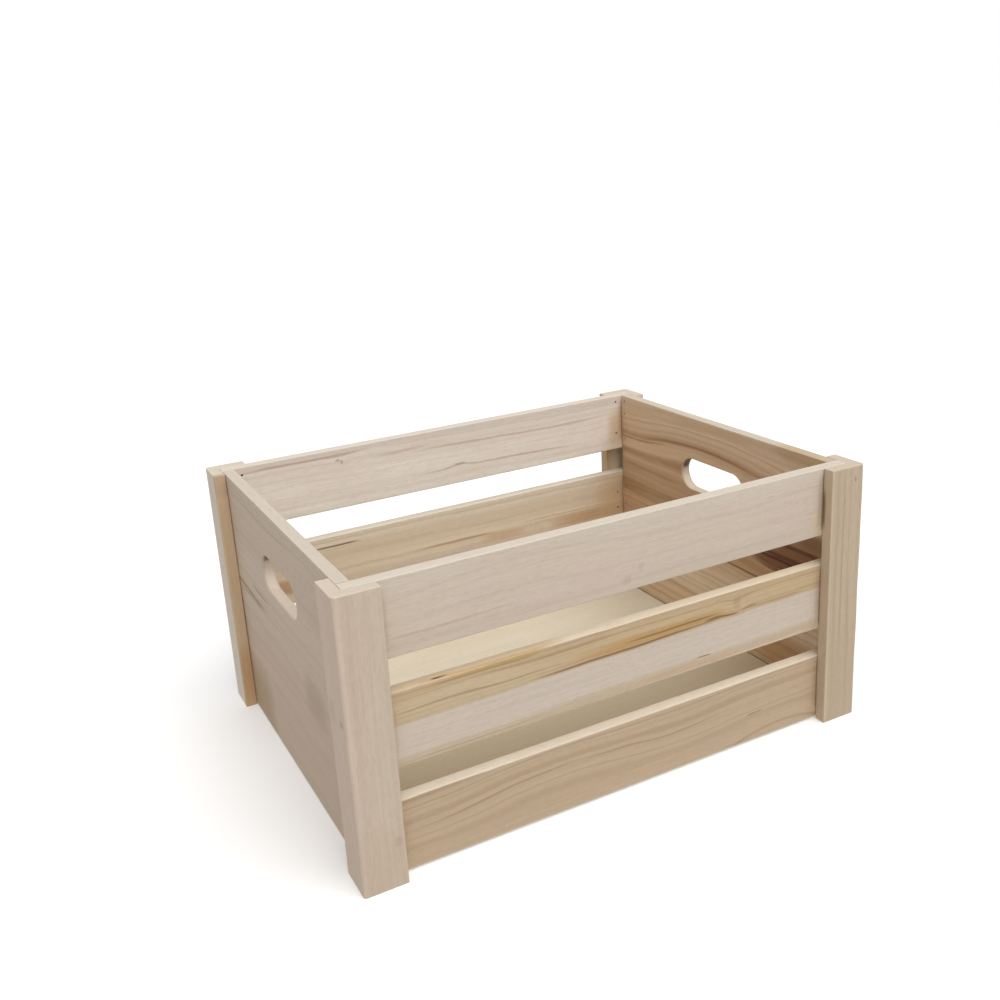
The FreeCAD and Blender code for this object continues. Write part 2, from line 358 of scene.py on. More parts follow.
            # Painted shade: the post's narrow inner tip, which faces away from the light, darker brown
            StainOrShade((170, 170, -141.5), (18, 3, 3.0), "#6E4428", 0.75, 0.95),
            StainOrShade((190, 192, -150), (2.2, 0.6, 3), "#6E5440", 0.7),
        ),
    ),
    "corner_post_back_left": Look(
        tones=((-200, "#DDD0BF"), (-191, "#D6C8B6"), (-180, "#D4C7B6"), (-170, "#D6CABA")),
        seed=42.3, pith=(-140, 210), spacing=4.0, contrast=0.2, ring="#B39C86", wander=1.6,
        cast="#CFC0AE",
        stains_and_shade=(
            StainOrShade((100, -194, 121), (400, 9, 4.0), "#D0B594", 1.0, 0.3),
            StainOrShade((22, -194, 121), (40, 9, 4.0), "#C49C70", 0.75, 0.9),
            StainOrShade((196, -194, 121), (16, 9, 4.0), "#BEA288", 0.7),
        ),
    ),
    "corner_post_back_right": Look(
        tones=((170, "#CBB897"), (180, "#D0C0A8"), (192, "#D0C2AE"), (200, "#D6CABA")),
        seed=46.6, pith=(240, 240), spacing=3.0, contrast=0.24, ring="#B39C86", wander=1.6,
        cast="#D2BFA9",
        stains_and_shade=(StainOrShade((138, 171, 144), (40, 6, 10), "#C2A67E", 0.6),),
    ),
}


# ------------------------------------------------------------- properties

class CrateSizes(bpy.types.PropertyGroup):
    """Sizes that the workshop leaves on the wood."""

    sanded_arris: bpy.props.FloatProperty(
        name="Sanded Arris", description="Width of the sanding along a board's long edges",
        default=0.7 * MM, min=0.1 * MM, max=3 * MM, unit="LENGTH", precision=5,
    )
    post_arris: bpy.props.FloatProperty(
        name="Post Arris", description="Rounding of a corner post's outer edge",
        default=2.2 * MM, min=0.2 * MM, max=4 * MM, unit="LENGTH", precision=5,
    )
    cut_end: bpy.props.FloatProperty(
        name="Cut End", description="Sanding round the sawn ends of the posts",
        default=0.5 * MM, min=0.05 * MM, max=2 * MM, unit="LENGTH", precision=5,
    )
    joint_arris: bpy.props.FloatProperty(
        name="Joint Arris", description="Edge break where the two boards of an end are glued",
        default=0.15 * MM, min=0.02 * MM, max=1 * MM, unit="LENGTH", precision=5,
    )
    wear: bpy.props.FloatProperty(
        name="Wear", description="Most that handling and sanding take off an edge",
        default=0.35 * MM, min=0.0, max=1 * MM, unit="LENGTH", precision=5,
    )
    station: bpy.props.FloatProperty(
        name="Station", description="Distance between the sections that carry the wear",
        default=9 * MM, min=2 * MM, max=60 * MM, unit="LENGTH", precision=5,
    )
    hand_hole_length: bpy.props.FloatProperty(
        name="Hand Hole Length", description="Length of the hand hole in each end",
        default=80 * MM, min=60 * MM, max=120 * MM, unit="LENGTH", precision=5,
    )
    hand_hole_height: bpy.props.FloatProperty(
        name="Hand Hole Height", description="Height of the hand hole in each end",
        default=27 * MM, min=20 * MM, max=40 * MM, unit="LENGTH", precision=5,
    )
    hand_hole_drop: bpy.props.FloatProperty(
        name="Hand Hole Drop", description="Middle of the hand hole below the rim",
        default=50 * MM, min=30 * MM, max=80 * MM, unit="LENGTH", precision=5,
    )
    hand_hole_round: bpy.props.FloatProperty(
        name="Hand Hole Rounding", description="Rounding of the hand hole's edges",
        default=1.3 * MM, min=0.2 * MM, max=4 * MM, unit="LENGTH", precision=5,
    )


class CrateFinish(bpy.types.PropertyGroup):
    """Colours and surface values that all the boards share."""

    pore: bpy.props.FloatVectorProperty(
        name="Pores", description="Colour of the open pores, which hold dust and shade",
        default=linear("#96795C", False), size=3, subtype="COLOR", min=0, max=1,
    )
    sanded: bpy.props.FloatVectorProperty(
        name="Sanded Edge", description="Colour of the freshly sanded edges",
        default=linear("#DDD3C3", False), size=3, subtype="COLOR", min=0, max=1,
    )
    cut: bpy.props.FloatVectorProperty(
        name="End Grain", description="Colour of the sawn ends",
        default=linear("#D4C9B9", False), size=3, subtype="COLOR", min=0, max=1,
    )
    plywood: bpy.props.FloatVectorProperty(
        name="Plywood", description="Colour of the floor's face veneer",
        default=linear("#DCD4C1", False), size=3, subtype="COLOR", min=0, max=1,
    )
    steel: bpy.props.FloatVectorProperty(
        name="Brad Steel", description="Colour of the brads' bright steel",
        default=linear("#6E6052", False), size=3, subtype="COLOR", min=0, max=1,
    )
    relief: bpy.props.FloatProperty(
        name="Relief", description="Height of the raised grain",
        default=0.05 * MM, min=0.0, max=0.5 * MM, unit="LENGTH", precision=6,
    )


class CrateStudio(bpy.types.PropertyGroup):
    """The floor, the lights and the camera."""

    camera_place: bpy.props.FloatVectorProperty(
        name="Camera Place", description="Where the camera stands",
        default=(-0.3568, -0.6765, 0.4403), size=3, subtype="TRANSLATION", unit="LENGTH",
    )
    camera_aim: bpy.props.FloatVectorProperty(
        name="Camera Aim", description="The point in the middle of the lens",
        default=(-0.0024, 0.0333, 0.1915), size=3, subtype="TRANSLATION", unit="LENGTH",
    )
    camera_roll: bpy.props.FloatProperty(
        name="Camera Roll", description="Turn of the camera about its own line of sight",
        default=radians(-3.49), subtype="ANGLE", unit="ROTATION",
    )
    lens: bpy.props.FloatProperty(
        name="Lens", description="Focal length of the lens in millimetres",
        default=38.4, min=10, max=200, subtype="DISTANCE_CAMERA",
    )
    shift: bpy.props.FloatVectorProperty(
        name="Lens Shift", description="Sideways and upward shift of the picture, as shares of its width",
        default=(0.0053, -0.0336), size=2,
    )
    floor_size: bpy.props.FloatProperty(
        name="Floor Size", description="Width of the studio floor",
        default=24.0, min=1, max=100, unit="LENGTH",
    )
    key_strength: bpy.props.FloatProperty(
        name="Key Light", description="Strength of the broad light from above",
        default=2.12, min=0, max=20,
    )
    fill_strength: bpy.props.FloatProperty(
        name="Fill Light", description="Strength of the even light from above the horizon",
        default=0.54, min=0, max=5,
    )
    bounce_strength: bpy.props.FloatProperty(
        name="Bounce Light", description="Strength of the light that comes back from below",
        default=0.58, min=0, max=5,
    )


# -------------------------------------------------------------- materials

RGBA = {"data_type": "RGBA"}
MULTIPLY = {"operation": "MULTIPLY"}
MULTIPLY_ADD = {"operation": "MULTIPLY_ADD"}


def add(tree, kind, settings=None, inputs=None, out=0):
    """Add a shader node with its settings and inputs, and return one of its outputs."""
    node = tree.nodes.new("ShaderNode" + kind)
    for key, value in (settings or {}).items():
        if key == "stops":
            ramp = node.color_ramp
            while len(ramp.elements) < len(value):
                ramp.elements.new(1.0)
            for element, (place, colour) in zip(ramp.elements, value):
                element.position = place
                element.color = colour
        else:
            setattr(node, key, value)
    for key, value in (inputs or {}).items():
        if isinstance(value, bpy.types.NodeSocket):
            tree.links.new(value, node.inputs[key])
        else:
            node.inputs[key].default_value = value
    return node if out is None else node.outputs[out]


def new_material(name):
    """An empty node material."""
    material = bpy.data.materials.new(name)
    material.use_nodes = True
    material.node_tree.nodes.clear()
    return material, material.node_tree


def grey(value):
    return (value, value, value, 1.0)


def pattern(tree, place, seed, size, detail, shift):
    """Noise whose grains have these sizes in millimetres."""
    scale = [1 / length for length in size]
    spot = add(tree, "Mapping", {}, {"Vector": place, "Location": (seed, shift, seed), "Scale": scale})
    return add(tree, "TexNoise", {}, {"Vector": spot, "Scale": 1.0, "Detail": detail, "Roughness": 0.55})


def grain_level(tree, place, along, across, look):
    """Where across the board the grain would lie if it ran straight: it strays, leans and swerves."""
    drift = pattern(tree, place, look.seed, (150, 32, 32), 2, 0)
    ripple = pattern(tree, place, look.seed, (38, 10, 10), 2, 3)
    strayed = add(tree, "Math", MULTIPLY_ADD, {0: drift, 1: 4 * look.wander, 2: across})
    strayed = add(tree, "Math", MULTIPLY_ADD, {0: ripple, 1: look.wander, 2: strayed})
    centred = add(tree, "Math", {"operation": "SUBTRACT"}, {0: strayed, 1: 2.5 * look.wander})
    level = add(tree, "Math", MULTIPLY_ADD, {0: along, 1: -look.lean, 2: centred})
    for knot in look.knots:
        scale = [1 / half for half in knot.half]
        offset = [-middle * share for middle, share in zip(knot.middle, scale)]
        near = add(tree, "Mapping", {}, {"Vector": place, "Location": (*offset, 0), "Scale": (*scale, 0)})
        reach = add(tree, "VectorMath", {"operation": "LENGTH"}, {0: near}, out="Value")
        smoother = {"interpolation_type": "SMOOTHERSTEP"}
        swell = add(tree, "MapRange", smoother, {0: reach, 1: 0, 2: 1, 3: knot.push, 4: 0})
        level = add(tree, "Math", {"operation": "ADD"}, {0: level, 1: swell})
    return level


def growth_rings(tree, level, along, through, clear, look):
    """Rings about the heart of the log, wide and narrow by turns, strong and faint by turns."""
    deep = add(tree, "Math", MULTIPLY_ADD, {0: along, 1: -look.rise, 2: through})
    section = add(tree, "CombineXYZ", {}, {1: level, 2: deep})
    radius = add(
        tree, "VectorMath", {"operation": "DISTANCE"}, {0: section, 1: (0, *look.pith)}, out="Value"
    )
    year = add(tree, "Math", {"operation": "DIVIDE"}, {0: radius, 1: look.spacing})
    yearly = {"noise_dimensions": "1D"}
    weather = add(tree, "TexNoise", yearly, {"W": year, "Scale": 0.4, "Detail": 1.0})
    uneven = add(tree, "Math", MULTIPLY_ADD, {0: weather, 1: 2.4, 2: year})
    season = add(tree, "Math", {"operation": "FRACT"}, {0: uneven})
    darkness = (
        (0, grey(0.25)),
        (0.4 * look.late, grey(0)),
        (1 - 1.1 * look.late, grey(0.04)),
        (1 - 0.35 * look.late, grey(1)),
        (1, grey(0.25)),
    )
    late_wood = add(tree, "ValToRGB", {"stops": darkness}, {0: season})
    vigour = add(tree, "TexNoise", yearly, {"W": uneven, "Scale": 0.55, "Detail": 0.0})
    strength = add(tree, "MapRange", {}, {0: vigour, 1: 0.35, 2: 0.7, 3: 0.15, 4: look.contrast * 1.3})
    strength = add(tree, "Math", MULTIPLY, {0: strength, 1: clear})
    return add(tree, "Math", MULTIPLY, {0: late_wood, 1: strength})


def outline(node):
    """Corners of a board in millimetres; the two boards glued into one end share one outline."""
    boards = [node]
    if node.startswith("end_board"):
        end = node.rsplit("_", 1)[0]
        boards = [end + "_lower", end + "_upper"]
    corners = [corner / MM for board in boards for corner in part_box(board)]
    low = [min(corner[axis] for corner in corners) for axis in (X, Y, Z)]
    high = [max(corner[axis] for corner in corners) for axis in (X, Y, Z)]
    return low, high


def sanded_arris(tree, millimetres, node):
    """How much sanding has cleaned the wood here: the second nearest face says how near an arris is."""
    low, high = outline(node)
    above = add(tree, "VectorMath", {"operation": "SUBTRACT"}, {0: millimetres, 1: low})
    below = add(tree, "VectorMath", {"operation": "SUBTRACT"}, {0: high, 1: millimetres})
    inside = add(tree, "VectorMath", {"operation": "MINIMUM"}, {0: above, 1: below})
    gaps = add(tree, "SeparateXYZ", {}, {0: inside}, out=None).outputs
    lesser = add(tree, "Math", {"operation": "MINIMUM"}, {0: gaps[0], 1: gaps[1]})
    greater = add(tree, "Math", {"operation": "MAXIMUM"}, {0: gaps[0], 1: gaps[1]})
    rest = add(tree, "Math", {"operation": "MINIMUM"}, {0: greater, 1: gaps[2]})
    arris = add(tree, "Math", {"operation": "MAXIMUM"}, {0: lesser, 1: rest})
    return add(tree, "MapRange", {}, {0: arris, 1: 0.3, 2: 1.8, 3: 0.4, 4: 0})


def stained_or_shaded(tree, colour, follow, stain_or_shade, lean):
    """Lay one streak, mineral mark, trace of bark or patch of painted shade over a colour."""
    scale = [1 / half if half else 0 for half in stain_or_shade.half]
    along, across, through = stain_or_shade.middle
    middle = (along, across - lean * along, through)
    offset = [-place * share for place, share in zip(middle, scale)]
    near = add(tree, "Mapping", {}, {"Vector": follow, "Location": offset, "Scale": scale})
    # The length of the squares gives a blunt shape, nearer a strip than an ellipse
    squares = add(tree, "VectorMath", MULTIPLY, {0: near, 1: near})
    reach = add(tree, "VectorMath", {"operation": "LENGTH"}, {0: squares}, out="Value")
    smooth = {"interpolation_type": "SMOOTHSTEP"}
    mask = add(tree, "MapRange", smooth, {0: reach, 1: 1 - stain_or_shade.edge, 2: 1, 3: stain_or_shade.strength, 4: 0})
    return add(tree, "Mix", RGBA, {0: mask, 6: colour, 7: linear(stain_or_shade.colour)}, out=2)


def joint_shade(grain, node):
    """Painted shade where this board meets the ones beside it: a thin dark line in each joint, partly dust
    and partly painted shade, and a soft strip of painted shade beside it.
    """
    low, high = (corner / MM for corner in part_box(node))
    along, across, through = grain
    middle = (low[across] + high[across]) / 2
    half = 0.46 * (high[across] - low[across])
    outer, inner = (high, low) if high[through] > 0 else (low, high)
    post_edge = (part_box("corner_post_back_right")[0] / MM)[along]
    inner_edge = (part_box("end_board_right_upper")[0] / MM).x if along == X else high[along]
    depth = 4
    shades = []
    for sign in (-1, 1):
        for edge, face, line, strip, strip_half, strip_strength in (
            (post_edge, outer, "#6E5440", "#A58E74", 6, 0.35),
            (inner_edge, inner, "#5E4430", "#A58464", 5, 0.3),
        ):
            place = (sign * edge, middle, face[through])
            # A thin dark line in the joint, partly dust and partly painted shade, and beside it a soft
            # strip of painted shade
            shades.append(StainOrShade(place, (1.0, half, depth), line, 0.5, 0.4))
            shades.append(StainOrShade(place, (strip_half, half, depth), strip, strip_strength, 1))
    return tuple(shades)


def wood(node, grain, look, finish):
    """Paulownia, planed and sanded but not coated.

    Pale, light wood with a dull surface: soft growth rings that stripe the
    faces, short fine pores along the grain, a pink or golden cast in places.
    """
    material, tree = new_material("paulownia_planed_" + node)
    low, high = (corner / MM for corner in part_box(node))

    # Places in millimetres: along the grain, across the board, through it
    objects = add(tree, "TexCoord", out="Object")
    millimetres = add(tree, "VectorMath", {"operation": "SCALE"}, {0: objects, "Scale": 1 / MM})
    axes = add(tree, "SeparateXYZ", {}, {0: millimetres}, out=None).outputs
    along, across, through = (axes[axis] for axis in grain)
    place = add(tree, "CombineXYZ", {}, {0: along, 1: across, 2: through})
    level = grain_level(tree, place, along, across, look)

    # The narrow edges are sanded across the grain, which blurs their figure
    normal = add(tree, "NewGeometry", out="Normal")
    facing = add(tree, "SeparateXYZ", {}, {0: normal}, out=None).outputs
    edgewise = add(tree, "Math", {"operation": "ABSOLUTE"}, {0: facing[grain[1]]})
    clear = add(tree, "MapRange", {}, {0: edgewise, 1: 0.3, 2: 0.8, 3: 1, 4: 0.3})
    ring = growth_rings(tree, level, along, through, clear, look)

    # Tones of sapwood and heartwood across the board, clouds of another cast, then the rings
    first, last = low[grain[1]], high[grain[1]]
    height = add(tree, "MapRange", {}, {0: level, 1: first, 2: last})
    stops = [((spot - first) / (last - first), linear(colour)) for spot, colour in look.tones]
    colour = add(tree, "ValToRGB", {"stops": stops}, {0: height})
    cloud = pattern(tree, place, look.seed, (70, 16, 16), 2, 7)
    patch = add(tree, "MapRange", {}, {0: cloud, 1: 0.42, 2: 0.7, 3: 0, 4: look.cast_share})
    colour = add(tree, "Mix", RGBA, {0: patch, 6: colour, 7: linear(look.cast)}, out=2)
    colour = add(tree, "Mix", RGBA, {0: ring, 6: colour, 7: linear(look.ring)}, out=2)

    # The narrow edges are one even tone, and the sawn ends paler and duller than the faces
    if grain != GRAIN_OF_POST:
        narrow = add(tree, "MapRange", {}, {0: edgewise, 1: 0.45, 2: 0.85, 3: 0, 4: 0.85})
        colour = add(tree, "Mix", RGBA, {0: narrow, 6: colour, 7: linear(look.edge)}, out=2)
    squarely = add(tree, "Math", {"operation": "ABSOLUTE"}, {0: facing[grain[0]]})
    end = add(tree, "MapRange", {}, {0: squarely, 1: 0.6, 2: 0.85, 3: 0, 4: 0.6})
    colour = add(tree, "Mix", RGBA, {0: end, 6: colour, 7: (*finish.cut, 1)}, out=2)

    # Sanding has cleaned the arrises, here more and there less
    rubbed = add(tree, "Math", MULTIPLY, {0: sanded_arris(tree, millimetres, node), 1: cloud})
    colour = add(tree, "Mix", RGBA, {0: rubbed, 6: colour, 7: (*finish.sanded, 1)}, out=2)

    # Streaks, marks, patches of painted shade and the painted shade where boards meet follow the grain
    follow = add(tree, "CombineXYZ", {}, {0: along, 1: level, 2: through})
    joint_shading = () if grain == GRAIN_OF_POST else joint_shade(grain, node)
    for stain_or_shade in look.stains_and_shade + joint_shading:
        colour = stained_or_shaded(tree, colour, follow, stain_or_shade, look.lean)

    # Fine lines of the grain, fibres and mottling, then pores 0.35 mm wide and 6 mm long
    lines = pattern(tree, place, look.seed, (110, 1.9, 1.9), 4, 13)
    fibre = pattern(tree, place, look.seed, (13, 0.5, 0.5), 2, 17)
    mottle = pattern(tree, place, look.seed, (5, 2.6, 2.6), 2, 29)
    dark, light = 1 - 2 * look.streak, 1 + 2 * look.streak
    shade = add(tree, "MapRange", {"clamp": False}, {0: lines, 1: 0, 2: 1, 3: dark, 4: light})
    shade = add(tree, "Math", MULTIPLY_ADD, {0: fibre, 1: 0.16, 2: shade})
    shade = add(tree, "Math", MULTIPLY_ADD, {0: mottle, 1: 0.12, 2: shade})
    shade = add(tree, "Math", {"operation": "SUBTRACT"}, {0: shade, 1: 0.14})
    colour = add(tree, "VectorMath", {"operation": "SCALE"}, {0: colour, "Scale": shade})
    dots = pattern(tree, place, look.seed, (6, 0.35, 0.35), 1, 23)
    pore = add(tree, "MapRange", {}, {0: dots, 1: 0.6, 2: 0.76, 3: 0, 4: 0.26})
    colour = add(tree, "Mix", RGBA, {0: pore, 6: colour, 7: (*finish.pore, 1)}, out=2)

    # Dull bare wood: rougher in the pores, a little smoother on late wood
    rough = add(tree, "MapRange", {}, {0: lines, 1: 0.3, 2: 0.7, 3: 0.58, 4: 0.74})
    rough = add(tree, "Math", MULTIPLY_ADD, {0: pore, 1: 0.3, 2: rough})
    rough = add(tree, "Math", MULTIPLY_ADD, {0: ring, 1: -0.08, 2: rough})
    relief = add(tree, "Math", MULTIPLY_ADD, {0: pore, 1: -1.2, 2: fibre})
    relief = add(tree, "Math", MULTIPLY_ADD, {0: lines, 1: 0.9, 2: relief})
    relief = add(tree, "Math", MULTIPLY_ADD, {0: ring, 1: 0.5, 2: relief})
    bump = add(tree, "Bump", {}, {"Height": relief, "Distance": finish.relief, "Strength": 0.8})
    surface = add(
        tree,
        "BsdfPrincipled",
        {},
        {
            "Base Color": colour,
            "Roughness": rough,
            "Normal": bump,
            "Specular IOR Level": 0.3,
            "IOR": 1.5,
        },
    )
    add(tree, "OutputMaterial", {}, {"Surface": surface}, out=None)
    return material


def plywood(finish):
    """Rotary-cut poplar plywood, sanded: pale yellow, smooth, with a faint wide figure."""
    material, tree = new_material("plywood_poplar_sanded")
    objects = add(tree, "TexCoord", out="Object")
    place = add(tree, "VectorMath", {"operation": "SCALE"}, {0: objects, "Scale": 1 / MM})
    along, depth = add(tree, "SeparateXYZ", {}, {0: place}, out=None).outputs[:2]
    figure_spot = add(tree, "Mapping", {}, {"Vector": place, "Scale": (1 / 140, 1 / 22, 1 / 22)})
    figure = add(tree, "TexNoise", {}, {"Vector": figure_spot, "Scale": 1, "Detail": 4, "Distortion": 0.6})
    lines_spot = add(tree, "Mapping", {}, {"Vector": place, "Scale": (1 / 60, 1 / 1.4, 1 / 1.4)})
    lines = add(tree, "TexNoise", {}, {"Vector": lines_spot, "Scale": 1, "Detail": 3})
    pores_spot = add(tree, "Mapping", {}, {"Vector": place, "Scale": (1 / 3, 1 / 0.4, 1 / 0.4)})
    pores = add(tree, "TexNoise", {}, {"Vector": pores_spot, "Scale": 1, "Detail": 1})
    warm = add(tree, "MapRange", {}, {0: figure, 1: 0.35, 2: 0.68, 3: 0, 4: 0.55})
    colour = add(tree, "Mix", RGBA, {0: warm, 6: (*finish.plywood, 1), 7: linear("#D4C8AF")}, out=2)

    # Painted shade: the sheet darkens and browns towards the front, where the front slats shade it
    wavy = add(tree, "Math", MULTIPLY_ADD, {0: figure, 1: 60, 2: depth})
    brown = add(tree, "MapRange", {}, {0: wavy, 1: 70, 2: -50, 3: 0, 4: 0.95})
    colour = add(tree, "Mix", RGBA, {0: brown, 6: colour, 7: linear("#C6B496")}, out=2)
    shade = add(tree, "MapRange", {"clamp": False}, {0: lines, 1: 0, 2: 1, 3: 0.93, 4: 1.07})
    colour = add(tree, "VectorMath", {"operation": "SCALE"}, {0: colour, "Scale": shade})
    dent = add(tree, "MapRange", {}, {0: pores, 1: 0.62, 2: 0.76, 3: 0, 4: 0.3})
    colour = add(tree, "Mix", RGBA, {0: dent, 6: colour, 7: (*finish.pore, 1)}, out=2)

    # Painted shade of the groove's gap where the sheet meets the two ends
    end_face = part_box("end_board_right_upper")[0].x / MM
    off_centre = add(tree, "Math", {"operation": "ABSOLUTE"}, {0: along})
    dust = {0: off_centre, 1: end_face - 1.3, 2: end_face - 0.4, 3: 0, 4: 0.75}
    seam_shade = add(tree, "MapRange", {}, dust)
    colour = add(tree, "Mix", RGBA, {0: seam_shade, 6: colour, 7: linear("#6B4A30")}, out=2)

    # Three pin knots
    half_length, half_width = 2.2, 1.1
    scale = (1 / half_length, 1 / half_width, 0)
    for knot_x, knot_y in ((89, -81), (147, -104), (-40, 62)):
        offset = (-knot_x / half_length, -knot_y / half_width, 0)
        near = add(tree, "Mapping", {}, {"Vector": place, "Location": offset, "Scale": scale})
        reach = add(tree, "VectorMath", {"operation": "LENGTH"}, {0: near}, out="Value")
        mask = add(tree, "MapRange", {}, {0: reach, 1: 0.5, 2: 1, 3: 0.8, 4: 0})
        colour = add(tree, "Mix", RGBA, {0: mask, 6: colour, 7: linear("#6E553C")}, out=2)
    rough = add(tree, "MapRange", {}, {0: figure, 1: 0.3, 2: 0.7, 3: 0.5, 4: 0.66})
    relief = add(tree, "Math", {"operation": "SUBTRACT"}, {0: lines, 1: dent})
    bump = add(tree, "Bump", {}, {"Height": relief, "Distance": finish.relief, "Strength": 0.5})
    surface = add(
        tree,
        "BsdfPrincipled",
        {},
        {"Base Color": colour, "Roughness": rough, "Normal": bump, "Specular IOR Level": 0.35},
    )
    add(tree, "OutputMaterial", {}, {"Surface": surface}, out=None)
    return material


def steel(finish):
    """Bright drawn steel wire with a thin oxide: grey, half dull, darker where it has tarnished."""
    material, tree = new_material("brad_steel_drawn")
    objects = add(tree, "TexCoord", out="Object")
    spot = add(tree, "Mapping", {}, {"Vector": objects, "Scale": (1 / (0.8 * MM),) * 3})
    tarnish = add(tree, "TexNoise", {}, {"Vector": spot, "Scale": 1, "Detail": 3})
    share = add(tree, "MapRange", {}, {0: tarnish, 1: 0.4, 2: 0.7, 3: 0, 4: 0.8})
    colour = add(tree, "Mix", RGBA, {0: share, 6: (*finish.steel, 1), 7: linear("#5A4A3C")}, out=2)
    rough = add(tree, "MapRange", {}, {0: tarnish, 1: 0.3, 2: 0.7, 3: 0.35, 4: 0.65})
    bump = add(tree, "Bump", {}, {"Height": tarnish, "Distance": 0.02 * MM, "Strength": 0.6})
    surface = add(
        tree,
        "BsdfPrincipled",
        {},
        {"Base Color": colour, "Metallic": 1.0, "Roughness": rough, "Normal": bump},
    )
    add(tree, "OutputMaterial", {}, {"Surface": surface}, out=None)
    return material


def studio_floor_paint():
    """Matt white paint on a smooth board lit faintly from behind, which keeps shadows light."""
    material, tree = new_material("studio_floor_matt_paint")
    objects = add(tree, "TexCoord", out="Object")
    mottle = add(tree, "TexNoise", {}, {"Vector": objects, "Scale": 1.5, "Detail": 2})
    colour = add(tree, "Mix", RGBA, {0: mottle, 6: linear("#FAFAFA"), 7: linear("#FEFEFE")}, out=2)
    surface = add(
        tree,
        "BsdfPrincipled",
        {},
        {
            "Base Color": colour,
            "Roughness": 0.9,
            "Specular IOR Level": 0.1,
            "Emission Color": linear("#FFFFFF"),
            "Emission Strength": 0.08,
        },
    )
    add(tree, "OutputMaterial", {}, {"Surface": surface}, out=None)
    return material


# --------------------------------------------------------------- geometry

NEAR = 0.1 * MM  # closer than this counts as the same place
OUTER_EDGE = radians(80)  # the long edges of a board turn by more than this
SAWN_EDGE = radians(60)  # and the edges round a post's sawn ends by more than this
SMOOTH = radians(38)  # faces that turn by less are shaded as one
PLYWOOD_SANDING = 0.2 * MM
PLYWOOD_STATION = 40 * MM


def unit(axis):
    """The unit vector of an axis."""
    return Vector([1.0 if other == axis else 0.0 for other in (X, Y, Z)])


def everything(form):
    return form.verts[:] + form.edges[:] + form.faces[:]


def runs_along(edge, axis):
    """True when an edge is parallel to an axis."""
    span = edge.verts[1].co - edge.verts[0].co
    return abs(span[axis]) > 0.999 * span.length


def lies_at(element, axis, place):
    """True when every vertex of an edge is at one place on an axis."""
    return all(abs(vert.co[axis] - place) < 0.01 * MM for vert in element.verts)


def cut_stations(form, axis, low, high, step):
    """Cut a form across at even sections, so that wear can vary along it."""
    count = max(2, round((high - low) / step))
    for index in range(1, count):
        spot = unit(axis) * (low + (high - low) * index / count)
        bmesh.ops.bisect_plane(
            form, geom=everything(form), dist=1e-7, plane_co=spot, plane_no=unit(axis)
        )


def round_edges(form, edges, size, segments):
    bmesh.ops.bevel(
        form, geom=edges, offset=size, offset_type="OFFSET", segments=segments,
        profile=0.5, affect="EDGES", material=-1,
    )


def wear_down(form, grain, wear, seed):
    """Take a little off every edge, more in some places than in others."""
    coarse_wave, fine_wave = 11 * MM, 5 * MM
    stretch = 0.35  # the coarse waves are longer along the grain
    flat_share = 0.15  # what the flat faces lose of an edge's wear
    form.normal_update()
    for vert in form.verts:
        spot = vert.co.copy()
        spot[grain[0]] *= stretch
        coarse = noise.noise(spot / coarse_wave + Vector((seed, 0, 0)))
        fine = noise.noise(vert.co / fine_wave + Vector((0, seed, 0)))
        loss = wear * min(1.0, max(0.0, 0.25 + 0.75 * coarse + 0.4 * fine))
        # Between two faces the normal points along more than one axis
        corner = sum(abs(part) > 0.25 for part in vert.normal) > 1
        vert.co -= vert.normal * (loss if corner else flat_share * loss)


def board_form(node, grain, arris, wear, station, seed, square=()):
    """A planed board in the node's box, with its long edges sanded.

    square lists (axis, place, size) for long edges that are sanded less.
    """
    low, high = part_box(node)
    form = bmesh.new()
    bmesh.ops.create_cube(form, size=1.0)
    bmesh.ops.scale(form, vec=high - low, verts=form.verts)
    bmesh.ops.translate(form, vec=(low + high) / 2, verts=form.verts)
    cut_stations(form, grain[0], low[grain[0]], high[grain[0]], station)
    for axis, place, size in square:
        joint = [edge for edge in form.edges if runs_along(edge, grain[0]) and lies_at(edge, axis, place)]
        round_edges(form, joint, size, 1)
    sharp = [
        edge
        for edge in form.edges
        if runs_along(edge, grain[0])
        and len(edge.link_faces) == 2
        and edge.calc_face_angle(0) > OUTER_EDGE
        and not any(abs(edge.verts[0].co[axis] - place) < 2 * size for axis, place, size in square)
    ]
    round_edges(form, sharp, arris, 3)
    wear_down(form, grain, wear, seed)
    bmesh.ops.recalc_face_normals(form, faces=form.faces)
    return form


def brads_near(node):
    """The head, direction and length of every brad that enters a node's box."""
    low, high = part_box(node)
    found = []
    for name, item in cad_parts.items():
        if not name.startswith("brads_"):
            continue
        axis = X if name.startswith("brads_end_to_post") else Y
        form = bmesh.new()
        form.from_mesh(item.data)
        bmesh.ops.remove_doubles(form, verts=form.verts, dist=1e-7)
        left = dict.fromkeys(form.verts)  # keeps their order, so every run bores in one order
        while left:
            group = [left.popitem()[0]]
            for vert in group:
                for edge in vert.link_edges:
                    other = edge.other_vert(vert)
                    if other in left:
                        del left[other]
                        group.append(other)
            start = Vector([min(vert.co[part] for vert in group) for part in (X, Y, Z)])
            stop = Vector([max(vert.co[part] for vert in group) for part in (X, Y, Z)])
            if any(stop[part] < low[part] or start[part] > high[part] for part in (X, Y, Z)):
                continue
            # The head is the wider end
            head = (start + stop) / 2
            first = max(abs(vert.co.z - head.z) for vert in group if vert.co[axis] < start[axis] + NEAR)
            last = max(abs(vert.co.z - head.z) for vert in group if vert.co[axis] > stop[axis] - NEAR)
            direction = unit(axis) if first > last else -unit(axis)
            head[axis] = start[axis] if first > last else stop[axis]
            found.append((head, direction, stop[axis] - start[axis], stop.z - start.z))
        form.free()
    return found


